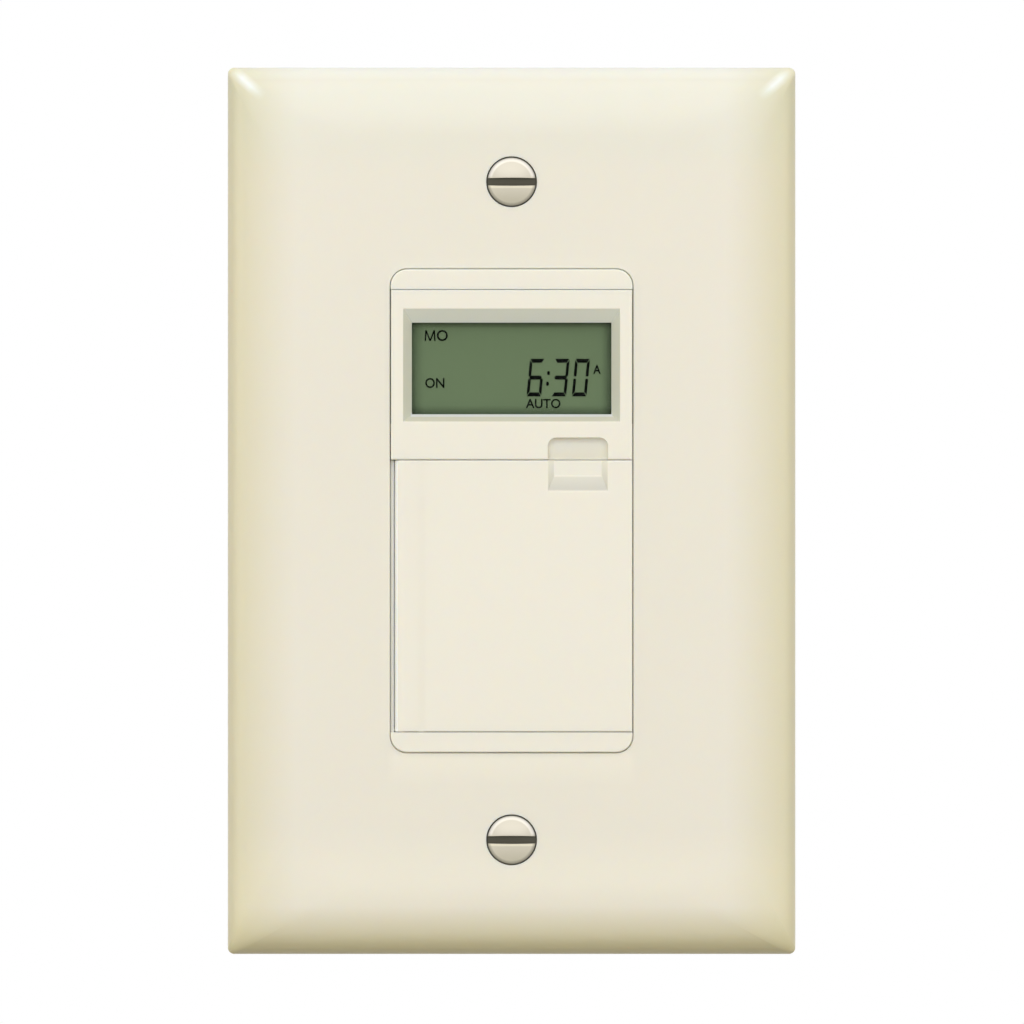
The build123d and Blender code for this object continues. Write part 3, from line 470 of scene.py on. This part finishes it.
def screwTones():
    # painted shade in the slot, a painted highlight on its lower lip, painted light and shade on
    # the two halves of each head, and a painted highlight round the upper rim
    # painted shade in the slot
    slot = {"from": (-6.64, -6.3), "to": (-5.8, -5.7), "colour": (0.092, 0.087, 0.067)}
    head = {"X": (-3.3, 3.3), "Y": (None, -6.35)}
    lipHighlight = {**head, "rise": (-0.88, -0.54), "soft": 0.06, "foot": (1.35, 1.35, 1.35),
           "top": (1.5, 1.5, 1.5)}
    lowerHalfShading = {**head, "rise": (-3.1, -0.88), "foot": (0.95, 0.95, 0.94), "top": (1.16, 1.16, 1.2)}
    upperHalfShading = {**head, "rise": (0.6, 3.1), "foot": (1.06, 1.06, 1.12), "top": (1.02, 1.02, 1.06)}
    rimHighlight = {"reach": (2.72, 3.2), "end": (4.0, 4.1), "half": (0.4, 0.9),
             "front": (-6.5, -6.35), "share": (1.68, 1.72, 1.9)}
    tones = [paintedDepthShade(slot)]
    for z in screwRows:
        for part in (lipHighlight, lowerHalfShading, upperHalfShading):
            low, high = part["rise"]
            tones.append(zoneTone({**part, "Z": (z + low, z + high)}))
        tones.append(paintedRingHighlight({**rimHighlight, "middle": z}))
    return tones


def displayTones():
    # axis, edge and where the painted dark border ends, in mm, and the least share of the colour
    borderShade = [("X", -13.95, -12.3, 0.6), ("X", 13.95, 12.5, 0.48), ("Z", 26.3, 25.4, 0.65),
              ("Z", 13.5, 14.8, 0.48)]
    return [paintedBorderShade(borderShade)]


def dressNodes():
    plastic = {"colour": (0.85, 0.805, 0.70), "vary": 0.006, "cloudScale": 30.0,
               "roughness": 0.30, "roughVary": 0.015, "grainScale": 2600.0,
               "grainStrength": 0.10, "grainHeight": 0.01, "specular": 0.3,
               "glow": 0.45, "glowReach": 0.9}
    metal = {"colour": (0.62, 0.60, 0.56), "vary": 0.06, "cloudScale": 160.0,
             "roughness": 0.34, "roughVary": 0.08, "grainScale": 1800.0,
             "grainStrength": 0.25, "grainHeight": 0.02, "metallic": 1.0}
    hard = {"colour": (0.05, 0.05, 0.05), "vary": 0.10, "cloudScale": 90.0, "roughness": 0.45,
            "roughVary": 0.06, "grainScale": 1500.0, "grainStrength": 0.22,
            "grainHeight": 0.02}
    brushed = (1, 1, 0.06)
    looks = {
        "platePlastic": {**plastic, "tones": plateTones()},
        "devicePlastic": {**plastic, "colour": (0.885, 0.84, 0.735), "tones": deviceTones()},
        "nickelPlate": {**metal, "colour": (0.58, 0.54, 0.43), "vary": 0.03, "roughness": 0.36,
                        "stretch": (0.15, 1, 1), "tones": screwTones()},
        "strapZinc": {**metal, "colour": (0.60, 0.60, 0.58), "roughness": 0.42,
                      "stretch": brushed},
        "screwZinc": {**metal, "colour": (0.66, 0.66, 0.63)},
        "naturalNylon": {**hard, "colour": (0.72, 0.70, 0.62), "vary": 0.03, "glow": 0.3,
                         "glowReach": 0.8},
        "greenPlate": {**metal, "colour": (0.06, 0.30, 0.12), "roughness": 0.32},
        "holderPlastic": {**hard, "colour": (0.62, 0.60, 0.54), "vary": 0.03},
        "contactRubber": {**hard, "colour": (0.03, 0.03, 0.03), "roughness": 0.75},
        "switchPlastic": {**hard, "colour": (0.022, 0.022, 0.024)},
        "boardLaminate": {**hard, "colour": (0.012, 0.085, 0.032), "roughness": 0.3},
        "chipResin": {**hard, "colour": (0.018, 0.018, 0.02), "roughness": 0.5},
        "canMetal": {**metal, "colour": (0.68, 0.68, 0.66), "roughness": 0.25,
                     "stretch": brushed},
        "relayCase": {**hard, "colour": (0.02, 0.06, 0.28), "roughness": 0.3},
        "filmCase": {**hard, "colour": (0.52, 0.27, 0.02), "roughness": 0.35},
        "canSleeve": {**hard, "colour": (0.012, 0.014, 0.03), "roughness": 0.3},
        "discLacquer": {**hard, "colour": (0.02, 0.07, 0.30), "roughness": 0.4},
        "housingPlastic": {**hard, "colour": (0.028, 0.028, 0.031), "roughness": 0.5,
                           "grainScale": 2200.0, "grainStrength": 0.45, "grainHeight": 0.03},
        "plainBrass": {**metal, "colour": (0.72, 0.50, 0.20), "roughness": 0.3,
                       "stretch": brushed},
        "silverBrass": {**metal, "colour": (0.68, 0.66, 0.60), "roughness": 0.3,
                        "stretch": brushed},
        "keyPlastic": {**plastic, "colour": (0.40, 0.405, 0.37), "roughness": 0.42},
        "displayGlass": {**hard, "colour": (0.160, 0.226, 0.119), "vary": 0.02,
                         "tones": displayTones(), "cloudScale": 70.0,
                         "roughness": 0.5, "roughVary": 0.03,
                         "grainStrength": 0.05, "grainHeight": 0.005, "specular": 0.1},
    }
    wears = {
        "platePlastic": ["wall_plate"],
        "devicePlastic": ["front_frame", "display_bezel", "program_door"],
        "nickelPlate": ["plate_screws"],
        "strapZinc": ["mounting_strap"],
        "screwZinc": ["box_screws", "housing_screws"],
        "naturalNylon": ["screw_retainers"],
        "greenPlate": ["ground_screw"],
        "holderPlastic": ["display_holder"],
        "contactRubber": ["zebra_strips"],
        "switchPlastic": ["tact_switches", "board_header"],
        "boardLaminate": ["control_board", "power_board"],
        "chipResin": ["timer_chip"],
        "canMetal": ["clock_crystal", "backup_cell", "cell_clip"],
        "relayCase": ["load_relay"],
        "filmCase": ["filter_capacitor"],
        "canSleeve": ["reservoir_capacitor"],
        "discLacquer": ["surge_disc"],
        "housingPlastic": ["rear_housing"],
        "plainBrass": ["hot_terminals", "hot_terminal_screws"],
        "silverBrass": ["neutral_terminal", "neutral_terminal_screw"],
        "keyPlastic": ["mode_key", "day_key", "hour_key", "minute_key", "clock_key",
                       "reset_key", "timer_key"],
        "displayGlass": ["display_panel"],
        "clearPane": ["display_window"],
    }
    made = {name: finish(name, look) for name, look in looks.items()}
    made["clearPane"] = clearPane()
    for name, worn in wears.items():
        for node in worn:
            nodes[node].data.materials.clear()
            nodes[node].data.materials.append(made[name])
    print("finishes on", sum(len(worn) for worn in wears.values()), "nodes")
    return made


def clearPane():
    pane = {"colour": (0.02, 0.022, 0.02), "vary": 0.03, "alpha": 0.05,
            "roughness": 0.06, "smearScale": 55.0, "roughVary": 0.03}
    material, tree, shader = newMaterial("clearPane")
    coords = addNode(tree, "ShaderNodeTexCoord").outputs["Object"]
    smear = noiseAt(tree, coords, pane["smearScale"])
    low, high = pane["roughness"] - pane["roughVary"], pane["roughness"] + pane["roughVary"]
    tree.links.new(toRange(tree, smear, low, high), shader.inputs["Roughness"])
    colour = blendColours(tree, smear, tinted(pane["colour"], 1 - pane["vary"]),
                          tinted(pane["colour"], 1))
    tree.links.new(colour, shader.inputs["Base Color"])
    shader.inputs["Alpha"].default_value = pane["alpha"]
    return material


# columns and rows are those of the photo, a pixel is so many mm, and the rest is in mm
readout = {"panelMiddle": 511.6, "pixel": 0.1398, "middleRow": 510.8,
           "back": -4.215, "front": -4.25,
           "digitWidth": 2.06, "digitHeight": 5.26, "lean": 5.5,
           "barThick": 0.56, "postThick": 0.385, "mitreGap": 0.045, "middleGap": 0.36,
           "middleInset": 0.35, "postShort": 4, "postSlope": 1.25, "middleCut": 0.19,
           "digitFoot": 396.35, "digits": {"6": 526.45, "3": 551.4, "0": 571.75},
           "dots": ((548.55, 373.0), (547.5, 383.7)), "dotWidth": 0.38, "dotHeight": 0.56,
           "dotCut": 0.1}
segmentsOf = {"6": "acdefg", "3": "abcdg", "0": "abcdef"}


def fromPhoto(column, row):
    x = (column - readout["panelMiddle"]) * readout["pixel"]
    return x, (readout["middleRow"] - row) * readout["pixel"]


def flatBar(width, height, x, z):
    # a bar that lies in the plane of the display, around its middle
    pickNone()
    bpy.ops.mesh.primitive_plane_add(size=1, rotation=(math.radians(90), 0, 0))
    bar = bpy.context.object
    bar.scale = (width * mm, height * mm, 1)
    bpy.ops.object.transform_apply(location=False, rotation=True, scale=True)
    bar.data.transform(Matrix.Translation((x * mm, 0, z * mm)))
    return bar


def slideCorners(bar, isCorner, move):
    # moves the picked corners of a bar along its plane
    clearMesh(bar)
    for vertex in bar.data.vertices:
        vertex.select = isCorner(vertex.co.x / mm, vertex.co.z / mm)
    bpy.ops.object.mode_set(mode="EDIT")
    bpy.ops.transform.translate(value=(move[0] * mm, 0, move[1] * mm))
    bpy.ops.object.mode_set(mode="OBJECT")


def barSegment(kind):
    wide, tall = readout["digitWidth"], readout["digitHeight"]
    thick, gap = readout["barThick"], readout["mitreGap"]
    middle = {"a": tall - thick / 2, "g": tall / 2, "d": thick / 2}[kind]
    inset = readout["postThick"] * readout["middleInset"] if kind == "g" else 0
    bar = flatBar(wide - 2 * gap - 2 * inset, thick, wide / 2, middle)
    if kind == "g":
        cutCorners(bar, readout["middleCut"])
        return bar
    inner = -1 if kind == "a" else 1
    for side in (-1, 1):
        slideCorners(bar, lambda x, z: (x - wide / 2) * side > 0 and (z - middle) * inner > 0,
                     (-side * (readout["postThick"] - gap), 0))
    return bar


def postSegment(kind):
    wide, tall = readout["digitWidth"], readout["digitHeight"]
    thick, gap, middleGap = readout["postThick"], readout["mitreGap"], readout["middleGap"]
    side = 1 if kind in "bc" else -1
    up = 1 if kind in "bf" else -1
    long = (tall - middleGap) / 2 - readout["postShort"] * gap
    x = wide / 2 + side * (wide - thick) / 2
    z = tall / 2 + up * (middleGap / 2 + long / 2)
    post = flatBar(thick, long, x, z)
    slideCorners(post, lambda px, pz: (px - x) * side < 0 and (pz - z) * up > 0,
                 (0, -up * thick * readout["postSlope"]))
    return post


def cutCorners(bar, cut):
    # cuts the four corners of a bar or a dot
    pickOnly(bar)
    bpy.ops.object.mode_set(mode="EDIT")
    bpy.ops.mesh.select_all(action="SELECT")
    bpy.ops.mesh.bevel(offset=cut * mm, affect="VERTICES")
    bpy.ops.object.mode_set(mode="OBJECT")


def thicken(piece):
    # gives flat marks their thin depth in front of the display
    pickOnly(piece)
    solidify = piece.modifiers.new("depth", "SOLIDIFY")
    solidify.thickness = (readout["back"] - readout["front"]) * mm
    solidify.offset = 0
    bpy.ops.object.modifier_apply(modifier="depth")
    setPlace(piece, Matrix.Translation((0, (readout["back"] + readout["front"]) / 2 * mm, 0)))


def finishMarks(pieces, name, material):
    marks = joinPieces(pieces, name)
    thicken(marks)
    dress(marks, material)
    attach(marks, "switch")


def makeDigits(material):
    pieces = []
    lean = Matrix.Identity(4)
    lean[0][2] = math.tan(math.radians(readout["lean"]))
    for digit, column in readout["digits"].items():
        left, foot = fromPhoto(column, readout["digitFoot"])
        for kind in segmentsOf[digit]:
            part = barSegment(kind) if kind in "adg" else postSegment(kind)
            part.data.transform(Matrix.Translation((left * mm, 0, foot * mm)) @ lean)
            pieces.append(part)
    for column, row in readout["dots"]:
        x, z = fromPhoto(column, row)
        dot = flatBar(readout["dotWidth"], readout["dotHeight"], x, z)
        cutCorners(dot, readout["dotCut"])
        pieces.append(dot)
    finishMarks(pieces, "readoutDigits", material)


def letterM(left, right, foot, top):
    # the font's own M fills up when it is drawn bolder, so this one is made of four bars
    letter = {"stroke": 0.2, "legFoot": 0.5, "legHead": 0.95}
    stroke, middle, tall = letter["stroke"], (left + right) / 2, top - foot
    bars = []
    for side, outer in ((1, left), (-1, right)):
        legFoot = outer + side * stroke * letter["legFoot"]
        legHead = outer + side * stroke * letter["legHead"]
        for low, high in ((legFoot, legHead), (middle, legHead)):
            bar = flatBar(stroke, tall, 0, tall / 2)
            shear = Matrix.Identity(4)
            shear[0][2] = (high - low) / tall
            bar.data.transform(Matrix.Translation((low * mm, 0, foot * mm)) @ shear)
            bars.append(bar)
    return joinPieces(bars, "letterM")


def flatText(words, boldness, left, right, foot, top):
    # letters in the plane of the front, fitted to their box in mm
    curveSteps = 6
    pickNone()
    bpy.ops.object.text_add(rotation=(math.radians(90), 0, 0))
    text = bpy.context.object
    text.data.body = words
    text.data.resolution_u = curveSteps
    text.data.offset = boldness
    bpy.ops.object.convert(target="MESH")
    text = bpy.context.object
    bpy.ops.object.transform_apply(location=True, rotation=True, scale=True)
    low = Vector([min(v.co[axis] for v in text.data.vertices) for axis in range(3)])
    high = Vector([max(v.co[axis] for v in text.data.vertices) for axis in range(3)])
    scaleX = (right - left) * mm / (high.x - low.x)
    scaleZ = (top - foot) * mm / (high.z - low.z)
    fit = Matrix.Translation((left * mm, 0, foot * mm)) @ Matrix.Diagonal((scaleX, 1, scaleZ, 1))
    text.data.transform(fit @ Matrix.Translation(-low))
    return text


def makeWords(material):
    # the left, right, foot and top of each, in pixels of the photo
    words = {"M": (424.6, 435.6, 340.9, 330.1), "O": (436.8, 447.8, 341.0, 329.9),
             "ON": (425.2, 444.4, 388.0, 377.9),
             "AUTO": (525.8, 560.5, 408.2, 398.8), "A": (593.2, 600.8, 373.9, 364.8)}
    plainBold, smallBold = 0.014, 0.022
    pieces = []
    for text, (left, right, foot, top) in words.items():
        low, high = fromPhoto(left, foot), fromPhoto(right, top)
        boldness = smallBold if text == "A" else plainBold
        make = letterM if text == "M" else partial(flatText, text, boldness)
        pieces.append(make(low[0], high[0], low[1], high[1]))
    finishMarks(pieces, "readoutWords", material)


def threadRidge(thread):
    # a helical ridge round +Y, its foot sunk in the shank and its ends closed
    # the three-sided circle that it starts from is 1.5 high, with sides of the root of 3
    depth = thread["crest"] - thread["sunk"]
    pickNone()
    bpy.ops.mesh.primitive_circle_add(vertices=3, radius=1, rotation=(0, 0, -math.pi / 2))
    ridge = bpy.context.object
    ridge.scale = (thread["pitch"] * thread["ridgeShare"] / math.sqrt(3) * mm,
                   depth / 1.5 * mm, 1)
    ridge.location = ((thread["sunk"] + depth / 3) * mm, thread["first"] * mm, 0)
    bpy.ops.object.transform_apply(location=True, rotation=True, scale=True)
    screw = ridge.modifiers.new("helix", "SCREW")
    screw.axis, screw.iterations = "Y", thread["turns"]
    screw.screw_offset = thread["pitch"] * mm
    screw.steps = screw.render_steps = thread["steps"]
    bpy.ops.object.modifier_apply(modifier="helix")
    bpy.ops.object.mode_set(mode="EDIT")
    bpy.ops.mesh.select_all(action="SELECT")
    bpy.ops.mesh.fill_holes(sides=3)
    bpy.ops.mesh.select_all(action="SELECT")
    bpy.ops.mesh.normals_make_consistent(inside=False)
    bpy.ops.object.mode_set(mode="OBJECT")
    return ridge


def mergedCopy(node, name):
    # a copy of a CAD node, its loose triangles merged and its own shading cleared
    mergeReach = 0.002
    pickNone()
    piece = nodes[node].copy()
    piece.data = nodes[node].data.copy()
    piece.name = piece.data.name = name
    piece.parent = None
    for key in list(piece.keys()):
        del piece[key]
    bpy.context.scene.collection.objects.link(piece)
    pickOnly(piece)
    bpy.ops.object.mode_set(mode="EDIT")
    bpy.ops.mesh.select_all(action="SELECT")
    bpy.ops.mesh.remove_doubles(threshold=mergeReach * mm)
    bpy.ops.mesh.select_all(action="DESELECT")
    bpy.ops.object.mode_set(mode="OBJECT")
    bpy.ops.mesh.customdata_custom_splitnormals_clear()
    return piece


def thinShank(piece, thread, middle):
    # takes the shank down to the thread's root, about its own axis
    near = {"least": 0.97, "most": 1.02, "past": 0.01}
    along = thread["along"]
    clearMesh(piece)
    away = [axis for axis in range(3) if axis != along]
    for vertex in piece.data.vertices:
        spot = vertex.co / mm
        radius = math.hypot(*[spot[axis] - middle[axis] for axis in away])
        onShank = near["least"] < radius / thread["shank"] < near["most"]
        vertex.select = (onShank and thread["from"] - near["past"] < spot[along]
                         < thread["to"] + near["past"])
    bpy.ops.object.mode_set(mode="EDIT")
    share = thread["root"] / thread["shank"]
    size = [1 if axis == along else share for axis in range(3)]
    bpy.ops.transform.resize(value=size, center_override=[part * mm for part in middle])
    bpy.ops.object.mode_set(mode="OBJECT")


def makeThreads(made):
    # sizes in mm; along is the screw's axis, 0 for X and 1 for Y
    common = {"pitch": 0.794, "ridgeShare": 0.94, "steps": 20, "along": 1}
    threads = {
        "box_screws": {**common, "slot": "zinc_screw", "finish": "screwZinc", "shank": 1.75,
                       "root": 1.46, "sunk": 1.38, "crest": 1.74, "from": 0.0, "to": 21.3,
                       "first": 0.9, "turns": 25, "middles": ((0, 0, 41.67), (0, 0, -41.67))},
        "plate_screws": {**common, "slot": "nickel", "finish": "nickelPlate", "shank": 1.4,
                         "root": 1.14, "sunk": 1.06, "crest": 1.39, "from": -3.9, "to": 5.1,
                         "first": -3.0, "turns": 9, "middles": [(0, 0, z) for z in screwRows]},
        "ground_screw": {**common, "slot": "green_screw", "finish": "greenPlate", "shank": 1.9,
                         "root": 1.58, "sunk": 1.5, "crest": 1.89, "from": -11.5, "to": -6.3,
                         "first": -10.9, "turns": 5, "along": 0, "middles": ((0, 4.6, -35.2),)},
    }
    for node, thread in threads.items():
        pieces = [mergedCopy(node, "threaded_" + node)]
        turn = Matrix.Rotation(math.radians(0 if thread["along"] == 1 else -90), 4, "Z")
        for middle in thread["middles"]:
            thinShank(pieces[0], thread, middle)
            ridge = threadRidge(thread)
            setPlace(ridge, Matrix.Translation([part * mm for part in middle]) @ turn)
            pieces.append(ridge)
        piece = joinPieces(pieces, "threaded_" + node)
        dress(piece, made[thread["finish"]])
        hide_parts(node)
        attach(piece, "switch")
    print("threads cut on", len(threads), "sets of screws")


def makeDisplay():
    inkLook = {"dark": (0.0008, 0.0012, 0.0008), "pale": (0.002, 0.003, 0.002),
               "cloudScale": 300.0, "roughness": (0.85, 1.0)}
    ink, tree, shader = newMaterial("readoutInk")
    coords = addNode(tree, "ShaderNodeTexCoord").outputs["Object"]
    cloud = noiseAt(tree, coords, inkLook["cloudScale"])
    colour = blendColours(tree, cloud, (*inkLook["dark"], 1.0), (*inkLook["pale"], 1.0))
    tree.links.new(colour, shader.inputs["Base Color"])
    tree.links.new(toRange(tree, cloud, *inkLook["roughness"]), shader.inputs["Roughness"])
    shader.inputs["Specular IOR Level"].default_value = 0.0
    makeDigits(ink)
    makeWords(ink)
    print("readout made")


placeCamera()
makeStudio()
makeFloor()
made = dressNodes()
makeThreads(made)
makeDisplay()

print("all pieces made")
